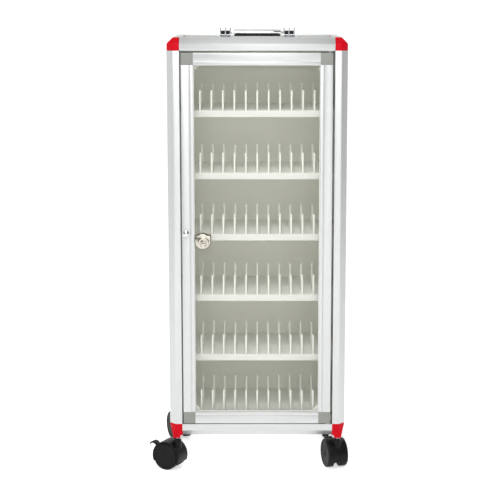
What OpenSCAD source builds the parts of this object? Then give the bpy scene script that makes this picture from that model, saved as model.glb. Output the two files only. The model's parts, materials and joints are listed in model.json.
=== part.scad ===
// Phone locker cabinet on casters: aluminium edge frame, glass door, six rows of upright dividers.
// Millimetres. +X is to the right of someone facing the door, +Y goes back, +Z up.
// The origin is on the floor, midway between the four caster stems.

/* [Cabinet] */
// Width over the corner posts
cab_w = 320; // [300:1:420]
// Depth over the corner posts
cab_d = 200; // [180:1:300]
// Height of the cabinet without casters and handle
cab_h = 725; // [715:1:800]
// Height of the cabinet's underside above the floor
cab_lift = 66; // [64:0.5:80]

/* [Frame section] */
// Side of the square edge section of posts and rails
edge_w = 23; // [22:0.5:26]
// Leg of the 45 degree chamfer on the outer edge
edge_cut = 11; // [8:0.5:11]
// Side of the square hollow along the section
core_w = 9; // [8:0.5:9.5]
// Thickness of the side, back and top panels
panel_t = 2.5; // [2:0.1:2.8]

/* [Shelves and dividers] */
// Thickness of the floor board and the shelves
board_t = 12; // [8:0.5:15]
// Height from one shelf to the next
shelf_pitch = 112; // [100:1:112]
// Distance of the shelves' front edge behind the front
shelf_setback = 30; // [26:1:45]
// Distance between divider plates
slot_pitch = 20.5; // [18:0.1:22]
// Divider plates in one row
plates = 13; // [5:1:13]
// Thickness of a divider plate
plate_t = 3.2; // [2:0.1:4]
// Height of a plate's front upright on the shelves
plate_h = 36; // [20:1:50]
// Height of a plate's front upright on the floor board
floor_plate_h = 46; // [20:1:60]
// How much taller a plate's rear upright is
rear_rise = 6.5; // [0:0.5:10]
// Length of a divider plate from front to back
plate_len = 88; // [60:1:110]

/* [Door] */
// Gap between the left post and the door
gap_left = 2.3; // [1.5:0.1:4]
// Gap between the door and the right post
gap_right = 3.7; // [3:0.1:5]
// Gap between the door and the top rail
gap_top = 3.5; // [2.5:0.1:5]
// Gap between the bottom rail and the door
gap_bottom = 1.2; // [1.2:0.1:3]
// Thickness of the door frame
door_t = 18; // [18:0.5:19]
// Width of the door's stiles and rails
stile_w = 21.5; // [20:0.5:24]
// Thickness of the glass
glass_t = 4; // [3:0.5:4]

/* [Lock] */
// Distance of the key plug from the door's left edge
lock_in = 38; // [37.5:0.1:39]
// Height of the key plug above the floor
lock_z = 425.8; // [380:0.1:440]
// Diameter of the round head
lock_head_d = 19.5; // [17:0.1:20]
// Pitch radius of the pinion that drives the bolt
pinion_r = 5.4; // [5.2:0.1:5.4]

/* [Handle] */
// Distance from the middle to the inner end of a bracket
bracket_in = 45; // [40:1:60]
// Length of a bracket
bracket_len = 35; // [32:1:40]
// Height of the bracket's ears above the top panel
ear_h = 19; // [16:0.5:22]
// Distance of the grip bar in front of its pivots
grip_reach = 25; // [20:1:32]
// Diameter of the grip bar
grip_d = 12; // [9:0.5:13]

/* [Casters] */
// Wheel diameter
wheel_d = 50; // [46:0.5:50]
// Distance of the wheel axle behind the stem
trail = 16; // [14:0.5:16]
// Direction in which the front left caster trails, in degrees from +X
aim_fl = 151; // [0:1:359]
// Direction in which the front right caster trails
aim_fr = 106; // [0:1:359]
// Direction in which the rear left caster trails
aim_rl = 113; // [0:1:359]
// Direction in which the rear right caster trails
aim_rr = 90; // [0:1:359]

/* [Hidden] */
$fn = 64;
rows = 6;                          // shelf levels, the floor board among them
inset = 12.5;                      // caster stem from the cabinet's outer faces
half_w = cab_w / 2;
half_d = cab_d / 2;
bottom_z = cab_lift;
top_z = cab_lift + cab_h;
core_in = (edge_w - core_w) / 2;
slot_w = panel_t + 0.4;            // panel slot in the edge section
slot_deep = 5;
side_slot = 7.25;                  // panel middle from the outer face, side panels
back_slot = 3.75;                  // the same for the back panel
top_slot = 5.25;                   // the same for the top panel
panel_grip = slot_deep - 0.4;      // how far a panel reaches into its slots
spigot = 10;                       // length of the corner caps' spigots
socket_drop = 5.7;                 // how far a bottom cap's socket reaches below the cabinet
socket_half = 6;                   // half the width of the socket's lower end
upright_w = 9;                     // uprights of a divider plate, front to back
web_h = 12;                        // height of the web between them
board_side = half_w - side_slot - panel_t / 2 - 0.3;
board_back = half_d - back_slot - panel_t / 2 - 0.3;
floor_z = bottom_z + edge_w + board_t;
floor_front = -half_d + 20;
shelf_front = -half_d + shelf_setback;
post_in = half_w - edge_w;
door_x0 = -post_in + gap_left;
door_x1 = post_in - gap_right;
door_z0 = bottom_z + edge_w + gap_bottom;
door_z1 = top_z - edge_w - gap_top;
door_y0 = -half_d;
pane_x0 = door_x0 + stile_w;       // the glass as it shows between the stiles and rails
pane_x1 = door_x1 - stile_w;
pane_z0 = door_z0 + stile_w;
pane_z1 = door_z1 - stile_w;
glass_y = door_y0 + 6.5;           // front face of the glass
glaze_in = 5;                      // how far the glass reaches into the channel
channel_y0 = 4.9;                  // glazing channel, from the door's front face
channel_y1 = glaze_in + glass_t + 3.1;
channel_deep = 7;
chamber = [3, 11.5, 3, 15];        // hollow of a door member: from the edge, from the front
block_spigot = 12;
hinge_x = door_x1 - 5;
hinge_y = door_y0 + 5;
hinge_r = 2;
bush_r = 3.5;
bush_flange_r = 4.5;
bush_flange_t = 0.8;
run = 0.05;                        // radial play of a pin in its bore
lock_x = door_x0 + lock_in;
plug_r = 5.45;
barrel_r = 7.8;
lock_plate_t = 4;
case_y0 = glass_y + glass_t + 0.1;
case_y1 = door_y0 + 22.4;
bolt_y0 = door_y0 + door_t + 0.4;
bolt_t = 2.8;
bolt_tip = door_x0 + 0.8;
bolt_h = 5.2;
pinion_teeth = 12;
tooth_pitch = 2 * PI * pinion_r / pinion_teeth;
panel_top = top_z - top_slot + panel_t / 2;
pivot_z = panel_top + 10.3;
pivot_r = 2;
arm_out = bracket_in - 2.5;
arm_t = 5;
stem_r = 4;
stem_collar_r = 6.2;
axle_z = wheel_d / 2;
axle_r = 4;
wheel_in = 6.7;                    // inner and outer face of a wheel from the caster's middle
wheel_out = 19;
hood_r = wheel_d / 2 + 2.8;
well_r = wheel_d / 2 + 0.6;        // wheel wells in the hood
hood_half = 18.2;
web_half = 6;
hood_floor = 14;
boss_r = 7.8;                      // boss round the stem, on top of the hood
boss_top = 56.2;
lever_pin = [trail + 16.5, axle_z + 13];
lever_pin_r = 1.5;
lever_half = 3.6;                  // half the width of the lever between the web's walls
tab_half = 6.6;                    // half the width of the part that a foot presses

// ---- helpers ----

// A box from its lowest corner to its highest.
module box(low, high) {
    translate(low) cube(high - low);
}

// Lets a shape drawn at the front left be used at any corner.
module at_corner(right, back) {
    mirror([right ? 1 : 0, 0, 0])
        mirror([0, back ? 1 : 0, 0])
            children();
}

// Extrudes an outline of (y, z) along +X.
module along_x(length) {
    rotate([90, 0, 90]) linear_extrude(length) children();
}

// Extrudes an outline of (x, z) along +Y.
module along_y(length) {
    translate([0, length, 0]) rotate([90, 0, 0]) linear_extrude(length) children();
}

// The chamfered square of the frame's section, its outer corner at the origin.
module edge_outline() {
    polygon([[edge_cut, 0], [edge_w, 0], [edge_w, edge_w], [0, edge_w], [0, edge_cut]]);
}

// The frame's section with its hollow. slot_u opens the face away from u = 0 of the second axis,
// slot_v that of the first axis. 0 means no slot.
module edge_section(slot_u = 0, slot_v = 0) {
    difference() {
        edge_outline();
        translate([core_in, core_in]) square(core_w);
        if (slot_u > 0)
            translate([slot_u - slot_w / 2, edge_w - slot_deep]) square([slot_w, slot_deep + 1]);
        if (slot_v > 0)
            translate([edge_w - slot_deep, slot_v - slot_w / 2]) square([slot_deep + 1, slot_w]);
    }
}

// ---- frame ----

module post(right, back) {
    color("#e6e8e8")
        at_corner(right, back)
            difference() {
                translate([-half_w, -half_d, bottom_z + edge_w])
                    linear_extrude(cab_h - 2 * edge_w)
                        edge_section(slot_u = side_slot, slot_v = back ? back_slot : 0);
                if (!right && !back) strike_slot();
            }
}

// Where the bolt enters the front left post.
module strike_slot() {
    rack_z = lock_z + pinion_r;
    box([-post_in - 8, bolt_y0 - 0.5, rack_z + 0.4], [-post_in + 1, bolt_y0 + bolt_t + 0.5, rack_z + 6.4]);
}

// A rail along X, its slots opening upwards and inwards. Drawn at the bottom front.
module rail_across(top, back) {
    color("#e6e8e8")
        difference() {
            translate([0, 0, top ? top_z : bottom_z])
                mirror([0, 0, top ? 1 : 0])
                    mirror([0, back ? 1 : 0, 0])
                        translate([-post_in, -half_d, 0])
                            along_x(2 * post_in)
                                edge_section(slot_u = back ? back_slot : 0, slot_v = top ? top_slot : 0);
            if (!back) bush_seat(top);
        }
}

// A rail along Y, drawn at the bottom left.
module rail_deep(top, right) {
    run_y = half_d - edge_w;
    color("#dfe1e1")
        translate([0, 0, top ? top_z : bottom_z])
            mirror([0, 0, top ? 1 : 0])
                mirror([right ? 1 : 0, 0, 0])
                    translate([-half_w, -run_y, 0])
                        along_y(2 * run_y)
                            edge_section(slot_u = side_slot, slot_v = top ? top_slot : 0);
}

// The block where three edge sections meet, its outer corner at the origin.
module cap_block() {
    intersection() {
        linear_extrude(edge_w) edge_outline();
        along_x(edge_w) edge_outline();
        along_y(edge_w) edge_outline();
    }
}

// The spigots that plug into a post (up) and two rails.
module cap_spigots() {
    at = core_in + 0.2;
    wide = core_w - 0.4;
    start = edge_cut + 1;
    long = edge_w + spigot - start;
    translate([at, at, start]) cube([wide, wide, long]);
    translate([at, start, at]) cube([wide, long, wide]);
    translate([start, at, at]) cube([long, wide, wide]);
}

module corner_caps_top() {
    color("#e0203a")
        for (right = [false, true], back = [false, true])
            at_corner(right, back)
                translate([-half_w, -half_d, top_z])
                    mirror([0, 0, 1]) {
                        cap_block();
                        cap_spigots();
                    }
}

// Outline of a bottom cap seen from the front: it tapers from the post to the socket.
module cap_taper_outline() {
    polygon([
        [0, edge_w],
        [edge_w, edge_w],
        [edge_w, 0],
        [inset + socket_half, 0],
        [inset + socket_half, -socket_drop],
        [inset - socket_half, -socket_drop],
        [0, edge_w - 1]
    ]);
}

module corner_caps_bottom() {
    deep = edge_w + 1;
    color("#e0203a")
        for (right = [false, true], back = [false, true])
            at_corner(right, back)
                translate([-half_w, -half_d, bottom_z])
                    difference() {
                        union() {
                            intersection() {
                                along_x(deep) cap_taper_outline();
                                along_y(deep) cap_taper_outline();
                                translate([0, 0, -socket_drop])
                                    linear_extrude(edge_w + socket_drop) edge_outline();
                            }
                            cap_spigots();
                        }
                        translate([inset, inset, -socket_drop - 1]) cylinder(r = stem_r + 0.03, h = 26);
                    }
}

// ---- panels and boards ----

// Outline of a panel for a frame opening: it reaches into the slots and is notched for the corner caps.
module panel_outline(wide, high) {
    notch = panel_grip + 0.1;
    difference() {
        square([wide + 2 * panel_grip, high + 2 * panel_grip], center = true);
        for (x = [-1, 1], y = [-1, 1])
            translate([x * (wide / 2 + panel_grip), y * (high / 2 + panel_grip)])
                square(2 * notch, center = true);
    }
}

module panel_side(right) {
    color("#f2f3f2")
        at_corner(right, false)
            translate([-half_w + side_slot - panel_t / 2, 0, (bottom_z + top_z) / 2])
                along_x(panel_t) panel_outline(2 * half_d - 2 * edge_w, cab_h - 2 * edge_w);
}

module panel_back() {
    color("#f2f3f2")
        translate([0, half_d - back_slot - panel_t / 2, (bottom_z + top_z) / 2])
            along_y(panel_t) panel_outline(2 * post_in, cab_h - 2 * edge_w);
}

module panel_top() {
    color("#f2f3f2")
        difference() {
            translate([0, 0, panel_top - panel_t])
                linear_extrude(panel_t) panel_outline(2 * post_in, 2 * half_d - 2 * edge_w);
            handle_screw_holes();
        }
}

// A board between the side panels, notched round the posts. Drawn at height 0.
module board(front) {
    notch = post_in - 0.3;
    notch_y = half_d - edge_w - 0.3;
    color("#f6f6f4")
        linear_extrude(board_t)
            difference() {
                translate([-board_side, front]) square([2 * board_side, board_back - front]);
                for (side = [-1, 1], end = [-1, 1])
                    translate([side * (notch + edge_w / 2), end * (notch_y + edge_w / 2)])
                        square(edge_w, center = true);
            }
}

module floor_board() {
    translate([0, 0, floor_z - board_t]) board(floor_front);
}

module shelf(i) {
    translate([0, 0, floor_z + i * shelf_pitch - board_t]) board(shelf_front);
}

// Angle strips under each shelf, against the side panels.
module shelf_brackets() {
    leg = 8.5;
    thick = 2;
    inner = half_w - side_slot - panel_t / 2;
    run_y = half_d - edge_w - 2;
    color("#d8dad9")
        for (i = [1 : rows - 1], right = [false, true])
            at_corner(right, false)
                translate([-inner, shelf_front + 4, floor_z + i * shelf_pitch - board_t])
                    along_y(run_y - shelf_front - 4)
                        polygon([[0, 0], [leg, 0], [leg, -thick], [thick, -thick], [thick, -leg], [0, -leg]]);
}

// Side view of one upright of a divider plate, with its rounded top.
module upright_outline(high) {
    r = 3;
    square([upright_w, high - r]);
    translate([r, 0]) square([upright_w - 2 * r, high]);
    for (y = [r, upright_w - r]) translate([y, high - r]) circle(r = r);
}

// Side view of a divider plate: a low web between the front upright and the taller rear one.
module plate_outline(high) {
    square([plate_len, web_h]);
    upright_outline(high);
    translate([plate_len - upright_w, 0]) upright_outline(high + rear_rise);
}

// A row of upright plates. Row 1 stands on the floor board, and row 6 is the highest.
module dividers(row) {
    ground = row == 1;
    front = ground ? floor_front + 1 : shelf_front + 0.5;
    color("#f4f5f0")
        for (i = [0 : plates - 1])
            translate([(i - (plates - 1) / 2) * slot_pitch - plate_t / 2, front, floor_z + (row - 1) * shelf_pitch])
                along_x(plate_t) plate_outline(ground ? floor_plate_h : plate_h);
}

// ---- door ----

// Section of a door member: u from the outer edge, v from the front face.
module member_section() {
    difference() {
        square([stile_w, door_t]);
        translate([chamber[0], chamber[2]]) square([chamber[1] - chamber[0], chamber[3] - chamber[2]]);
        translate([stile_w - channel_deep, channel_y0]) square([channel_deep + 1, channel_y1 - channel_y0]);
        translate([stile_w - channel_deep, -1]) square([1.2, 2.2]);
    }
}

module door_stile(right) {
    color("#eceded")
        translate([right ? door_x1 : door_x0, door_y0, pane_z0])
            mirror([right ? 1 : 0, 0, 0])
                linear_extrude(pane_z1 - pane_z0) member_section();
}

module door_rail(top) {
    color("#eceded")
        translate([pane_x1, door_y0, top ? door_z1 : door_z0])
            mirror([0, 0, top ? 1 : 0])
                rotate([0, -90, 0])
                    linear_extrude(pane_x1 - pane_x0) member_section();
}

// A corner block with its outer corner at the origin, towards +X and +Z.
module corner_block() {
    small = 0.2;
    wide = chamber[1] - chamber[0] - 2 * small;
    deep = chamber[3] - chamber[2] - 2 * small;
    difference() {
        translate([0.1, 0.3, 0.1]) cube([stile_w - 0.1, door_t - 0.6, stile_w - 0.1]);
        translate([stile_w - channel_deep, channel_y0, stile_w - channel_deep])
            cube([channel_deep + 1, channel_y1 - channel_y0, channel_deep + 1]);
    }
    translate([chamber[0] + small, chamber[2] + small, stile_w - 1]) cube([wide, deep, block_spigot + 1]);
    translate([stile_w - 1, chamber[2] + small, chamber[0] + small]) cube([block_spigot + 1, deep, wide]);
}

module door_corner_blocks() {
    color("#93948d")
        difference() {
            for (right = [false, true], top = [false, true])
                translate([right ? door_x1 : door_x0, door_y0, top ? door_z1 : door_z0])
                    mirror([right ? 1 : 0, 0, 0])
                        mirror([0, 0, top ? 1 : 0])
                            corner_block();
            hinge_pins();
        }
}

// The outline of the pane, grown by a margin, as a slab.
module pane(grow, y0, y1) {
    box([pane_x0 - grow, y0, pane_z0 - grow], [pane_x1 + grow, y1, pane_z1 + grow]);
}

module door_glass() {
    color("#dfe8e4", 0.35)
        difference() {
            pane(glaze_in, glass_y, glass_y + glass_t);
            translate([lock_x, glass_y - 1, lock_z]) rotate([-90, 0, 0]) cylinder(r = 8, h = glass_t + 2);
        }
}

module door_gasket() {
    color("#fbfbf8")
        difference() {
            pane(channel_deep - 0.2, door_y0 + channel_y0 + 0.1, door_y0 + channel_y1 - 0.1);
            pane(-1, door_y0, door_y0 + door_t);
            pane(glaze_in + 0.1, glass_y - 0.1, glass_y + glass_t + 0.1);
        }
}

// Triangular pads behind the glass, in its four corners.
module door_glass_pads() {
    leg = 10;
    off = 1.1;
    color("#f3f4ef")
        for (right = [false, true], top = [false, true])
            translate([right ? pane_x1 : pane_x0, glass_y + glass_t, top ? pane_z1 : pane_z0])
                mirror([right ? 1 : 0, 0, 0])
                    mirror([0, 0, top ? 1 : 0])
                        translate([off, 0, off])
                            along_y(3) polygon([[0, 0], [leg, 0], [0, leg]]);
}

module door_knob() {
    color("#d9d9d6")
        translate([door_x0 + 7.3, door_y0, lock_z + 17.4])
            rotate([90, 0, 0])
                rotate_extrude()
                    polygon([[0, 0], [4.5, 0], [4.5, 1], [3, 2.5], [3, 4.5], [6.25, 6], [6.25, 7.5], [5, 8.8], [0, 9.4]]);
}

// Pivot pins in the right-hand corner blocks, one up into the top rail and one down.
module hinge_pins() {
    color("#c4c6c8") {
        translate([hinge_x, hinge_y, door_z1 - 14]) cylinder(r = hinge_r, h = 14 + gap_top + 6.5);
        translate([hinge_x, hinge_y, door_z0 - gap_bottom - 6.5]) cylinder(r = hinge_r, h = 14 + gap_bottom + 6.5);
    }
}

// The seat cut in a front rail for a hinge bush.
module bush_seat(top) {
    z = top ? top_z - edge_w - 1 : bottom_z + edge_w - 7.5;
    translate([hinge_x, hinge_y, z]) cylinder(r = bush_r, h = 8.5);
}

// A flanged bush, its flange's face at height 0 and its body below.
module bush() {
    difference() {
        union() {
            translate([0, 0, -7 - bush_flange_t]) cylinder(r = bush_r, h = 7 + bush_flange_t);
            translate([0, 0, -bush_flange_t]) cylinder(r = bush_flange_r, h = bush_flange_t);
        }
        translate([0, 0, -10]) cylinder(r = hinge_r + run, h = 12);
    }
}

module hinge_bushes() {
    color("#e9e7dd") {
        translate([hinge_x, hinge_y, bottom_z + edge_w + bush_flange_t]) bush();
        translate([hinge_x, hinge_y, top_z - edge_w - bush_flange_t]) mirror([0, 0, 1]) bush();
    }
}

// ---- lock ----

// Flat on top, round below: the outline that the face and the case share, in (x, z).
module lock_outline() {
    r = 13.9;
    translate([-1.1, 1.9]) {
        circle(r = r);
        translate([-r, 0]) square([2 * r, 10.7]);
    }
}

module lock_face() {
    y0 = glass_y - lock_plate_t;
    color("#dcd8cd")
        difference() {
            union() {
                translate([lock_x, y0, lock_z]) along_y(lock_plate_t) lock_outline();
                translate([lock_x, y0 - 3.5, lock_z]) rotate([-90, 0, 0]) cylinder(d = lock_head_d, h = 4);
                translate([lock_x, glass_y - 1, lock_z]) rotate([-90, 0, 0]) cylinder(r = barrel_r, h = glass_t + 1);
            }
            translate([lock_x, y0 - 5, lock_z]) rotate([-90, 0, 0]) cylinder(r = plug_r + run, h = 20);
        }
}

// Rear half of the lock: the pinion turns in its round hollow and the bolt slides in the channel.
module lock_case() {
    rack_z = lock_z + pinion_r;
    color("#cfccc2")
        difference() {
            translate([lock_x, case_y0, lock_z]) along_y(case_y1 - case_y0) lock_outline();
            translate([lock_x, case_y0 - 1, lock_z]) rotate([-90, 0, 0]) cylinder(r = plug_r + run, h = 9);
            translate([lock_x, bolt_y0 - 0.4, lock_z]) rotate([-90, 0, 0]) cylinder(r = 7, h = bolt_t + 0.8);
            box(
                [lock_x - 20, bolt_y0 - 0.4, rack_z - 1.2],
                [lock_x + 11.2, bolt_y0 + bolt_t + 0.4, rack_z + bolt_h + 1.2]
            );
        }
}

// One tooth as points in polar form: half widths at root and tip, about angle a.
function tooth(a) = [
    for (p = [[4.4, -10], [6.15, -3.2], [6.15, 3.2], [4.4, 10]])
        p[0] * pinion_r / 5.4 * [cos(a + p[1]), sin(a + p[1])]
];

module pinion_outline() {
    polygon([for (k = [0 : pinion_teeth - 1], p = tooth(105 + k * 360 / pinion_teeth)) p]);
}

module lock_plug() {
    y0 = glass_y - lock_plate_t - 3.9;
    color("#e6e4dc")
        difference() {
            union() {
                translate([lock_x, y0, lock_z]) rotate([-90, 0, 0]) cylinder(r = plug_r, h = bolt_y0 - y0);
                translate([lock_x, bolt_y0, lock_z]) along_y(bolt_t) pinion_outline();
            }
            box([lock_x - 3.8, y0 - 1, lock_z - 0.7], [lock_x + 3.8, y0 + 9, lock_z + 0.7]);
        }
}

// The bolt: a flat bar with the rack's teeth below it.
module lock_bolt() {
    rack_z = pinion_r;
    half_tip = 0.28;
    half_root = 0.8;
    color("#b9babb")
        translate([lock_x, bolt_y0, lock_z])
            along_y(bolt_t) {
                translate([bolt_tip - lock_x, rack_z + 0.9])
                    square([lock_x + 3.5 * tooth_pitch - bolt_tip, bolt_h]);
                for (k = [-1 : 3])
                    translate([k * tooth_pitch, rack_z])
                        polygon([[-half_tip, -0.75], [half_tip, -0.75], [half_root, 1], [-half_root, 1]]);
            }
}

// ---- handle ----

// Where the four screws go through the brackets and the top panel.
module at_handle_screws() {
    for (side = [-1, 1], y = [-8, 8])
        translate([side * (bracket_in + bracket_len - 4), y, panel_top])
            children();
}

module handle_screw_holes() {
    at_handle_screws() translate([0, 0, -panel_t - 1]) cylinder(r = 1.6, h = panel_t + 4);
}

// An ear of a bracket, standing across X.
module ear_outline() {
    tip = 4;
    top = ear_h - tip;
    square_w = 16;
    polygon([[-square_w / 2, 0], [square_w / 2, 0], [tip, top], [-tip, top]]);
    translate([0, top]) circle(r = tip);
}

module handle_brackets() {
    base_t = 1.5;
    color("#cfd1d2")
        for (side = [0, 1])
            mirror([side, 0, 0])
                difference() {
                    translate([bracket_in, 0, panel_top]) {
                        translate([0, -13, 0]) cube([bracket_len, 26, base_t]);
                        for (x = [2.8, 12, 21.3]) translate([x, 0, 0]) along_x(1.6) ear_outline();
                        translate([4, -7, 0]) cube([18, 14, 5.5]);
                    }
                    translate([0, 0, pivot_z]) rotate([0, 90, 0]) cylinder(r = pivot_r + run, h = bracket_in + 14.5);
                    handle_screw_holes();
                }
}

module handle_screws() {
    color("#b8babb")
        at_handle_screws() {
            translate([0, 0, -panel_t - 5]) cylinder(r = 1.5, h = panel_t + 7);
            translate([0, 0, 1.5]) cylinder(r1 = 3, r2 = 2.2, h = 1.6);
            translate([0, 0, -panel_t - 3]) cylinder(r = 3.2, h = 3, $fn = 6);
        }
}

// The grip folded forward, with its two arms and the pins that turn in the ears.
module handle_grip() {
    bar_r = grip_d / 2;
    color("#dfe0e0") {
        translate([-arm_out, -grip_reach, pivot_z]) rotate([0, 90, 0]) cylinder(r = bar_r, h = 2 * arm_out);
        for (side = [0, 1])
            mirror([side, 0, 0]) {
                translate([arm_out - arm_t, -grip_reach, pivot_z - 5]) cube([arm_t, grip_reach, 10]);
                translate([arm_out - arm_t, 0, pivot_z]) rotate([0, 90, 0]) cylinder(r = 5, h = arm_t);
                translate([arm_out - 1, 0, pivot_z]) rotate([0, 90, 0]) cylinder(r = pivot_r, h = bracket_in - arm_out + 15);
            }
    }
}

// ---- casters ----

// Moves a caster drawn at the origin, trailing along +X, to its corner.
module at_caster(corner) {
    right = corner == "fr" || corner == "rr";
    back = corner == "rl" || corner == "rr";
    aim = corner == "fl" ? aim_fl : corner == "fr" ? aim_fr : corner == "rl" ? aim_rl : aim_rr;
    translate([(right ? 1 : -1) * (half_w - inset), (back ? 1 : -1) * (half_d - inset), 0])
        rotate([0, 0, aim])
            children();
}

module caster_stems() {
    top = bottom_z + 18;
    color("#d6d8d9")
        for (sx = [-1, 1], sy = [-1, 1])
            translate([sx * (half_w - inset), sy * (half_d - inset), 0]) {
                translate([0, 0, 36.2]) cylinder(r = stem_r, h = top - 36.2);
                translate([0, 0, boss_top + 0.3])
                    cylinder(r1 = stem_r + 0.2, r2 = stem_collar_r, h = bottom_z - socket_drop - boss_top - 0.3);
            }
}

// A disc across the caster, from one side to the other.
module across(at, r, from, to) {
    translate([at[0], to, at[1]]) rotate([90, 0, 0]) cylinder(r = r, h = to - from);
}

module caster_hood(corner) {
    braked = corner == "fl" || corner == "fr";
    color("#26262a")
        at_caster(corner) {
            difference() {
                union() {
                    translate([trail, 0, axle_z]) rotate([90, 0, 0]) rotate_extrude() hood_profile();
                    translate([0, 0, 37]) cylinder(r = boss_r, h = boss_top - 37);
                }
                // below the hood's rim
                box([-60, -40, -10], [80, 40, hood_floor]);
                // wheel wells, either side of the web
                across([trail, axle_z], well_r, web_half, hood_half + 2);
                across([trail, axle_z], well_r, -hood_half - 2, -web_half);
                // axle bore and stem bore
                across([trail, axle_z], axle_r + run, -web_half - 1, web_half + 1);
                translate([0, 0, 35.8]) cylinder(r = stem_r + run, h = 30);
                if (braked) lever_slot();
            }
            if (braked) across(lever_pin, lever_pin_r, 0.5 - web_half, web_half - 0.5);
        }
}

// Half of the hood's section along its axle, with its shoulders.
module hood_profile() {
    edge = [[hood_r - 1.4, 0], [hood_r - 0.5, 1], [hood_r, 3]];
    polygon(concat(
        [[0, -hood_half]],
        [for (p = edge) [p[0], p[1] - hood_half]],
        [for (k = [2, 1, 0]) [edge[k][0], hood_half - edge[k][1]]],
        [[0, hood_half]]
    ));
}

// Room for the brake lever in the web of the hood.
module lever_slot() {
    half = lever_half + 0.4;
    box([lever_pin[0] - 3.4, -half, lever_pin[1] - 4], [80, half, 80]);
    box([lever_pin[0] + 2, -half, lever_pin[1] - 9], [80, half, 80]);
}

// Two wheels and their axle, three solids so that nothing fills the gap for the hood and the lever.
module caster_wheels(corner) {
    r = wheel_d / 2;
    color("#232326")
        at_caster(corner) {
            across([trail, axle_z], axle_r, 0.1 - wheel_in, wheel_in - 0.1);
            for (side = [0, 1])
                mirror([0, side, 0])
                    translate([trail, -wheel_in, axle_z])
                        rotate([90, 0, 0])
                            rotate_extrude()
                                polygon([
                                    [0, 0],
                                    [r - 1, 0],
                                    [r, 1],
                                    [r, wheel_out - wheel_in - 2.5],
                                    [r - 2, wheel_out - wheel_in],
                                    [0, wheel_out - wheel_in]
                                ]);
        }
}

// Side view of the brake lever's shank, from its pivot.
module lever_shank() {
    polygon([
        [0, 2.6], [6, 3], [10.5, 5.3], [15, 7.3], [19.5, 7.8], [23, 6], [25, 2.5], [23.1, 2],
        [21.3, 4.3], [19, 5.2], [15, 4.7], [11.5, 2.7], [8.5, -0.2], [4, -1.8], [0, -2.6]
    ]);
}

// Side view of its wide end, which clears the hood when the lever is pressed.
module lever_tab() {
    polygon([
        [10.5, 5.3], [15, 7.3], [19.5, 7.8], [23, 6], [25, 2.5], [23.1, 2],
        [21.3, 4.3], [19, 5.2], [15, 4.7], [11.5, 2.7], [10.3, 1.7]
    ]);
}

module brake_lever(corner) {
    color("#1f1f22")
        at_caster(corner)
            difference() {
                union() {
                    translate([lever_pin[0], -lever_half, lever_pin[1]]) along_y(2 * lever_half) lever_shank();
                    translate([lever_pin[0], -tab_half, lever_pin[1]]) along_y(2 * tab_half) lever_tab();
                    across(lever_pin, 2.8, -lever_half, lever_half);
                }
                across(lever_pin, lever_pin_r + run, -lever_half - 1, lever_half + 1);
            }
}

// ---- nodes ----

post(false, false);  // post_front_left
post(true, false);  // post_front_right
post(false, true);  // post_rear_left
post(true, true);  // post_rear_right
rail_across(true, false);  // rail_top_front
rail_across(true, true);  // rail_top_rear
rail_deep(true, false);  // rail_top_left
rail_deep(true, true);  // rail_top_right
rail_across(false, false);  // rail_bottom_front
rail_across(false, true);  // rail_bottom_rear
rail_deep(false, false);  // rail_bottom_left
rail_deep(false, true);  // rail_bottom_right
corner_caps_top();
corner_caps_bottom();
panel_side(false);  // panel_left
panel_side(true);  // panel_right
panel_back();
panel_top();
floor_board();
for (i = [1 : rows - 1])
    shelf(i);
for (i = [1 : rows])
    dividers(i);
shelf_brackets();
handle_brackets();
handle_screws();
handle_grip();
door_stile(false);  // door_stile_left
door_stile(true);  // door_stile_right
door_rail(true);  // door_rail_top
door_rail(false);  // door_rail_bottom
door_corner_blocks();
door_glass();
door_gasket();
door_glass_pads();
door_knob();
hinge_pins();
hinge_bushes();
lock_face();
lock_case();
lock_plug();
lock_bolt();
caster_stems();
for (corner = ["fl", "fr"])
    brake_lever(corner);
for (corner = ["fl", "fr", "rl", "rr"]) {
    caster_hood(corner);
    caster_wheels(corner);
}
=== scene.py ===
"""Phone locker cabinet on casters, dressed over its CAD frame.

Lengths in the settings are millimetres unless a unit is given. The frame and every mesh are in metres,
with +X to the right of someone facing the door, +Y towards the back and +Z up.
"""

import json
import math

import bmesh
import bpy
from bpy.props import FloatProperty, FloatVectorProperty, IntProperty, PointerProperty
from mathutils import Matrix, Vector


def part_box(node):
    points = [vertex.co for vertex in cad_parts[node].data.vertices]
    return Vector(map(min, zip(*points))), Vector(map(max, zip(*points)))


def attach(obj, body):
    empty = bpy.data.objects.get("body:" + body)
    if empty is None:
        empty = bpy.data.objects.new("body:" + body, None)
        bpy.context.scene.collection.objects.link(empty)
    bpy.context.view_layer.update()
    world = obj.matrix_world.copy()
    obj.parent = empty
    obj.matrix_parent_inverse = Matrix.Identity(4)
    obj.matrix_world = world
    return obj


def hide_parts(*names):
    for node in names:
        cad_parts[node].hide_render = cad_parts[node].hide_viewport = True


bl_info = {
    "name": "Phone Locker Cabinet",
    "version": (1, 0, 0),
    "blender": (4, 5, 0),
    "location": "3D View > Sidebar > Cabinet",
    "description": "Dresses the phone locker cabinet's frame with finished pieces and a studio",
    "category": "Object",
}

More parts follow.
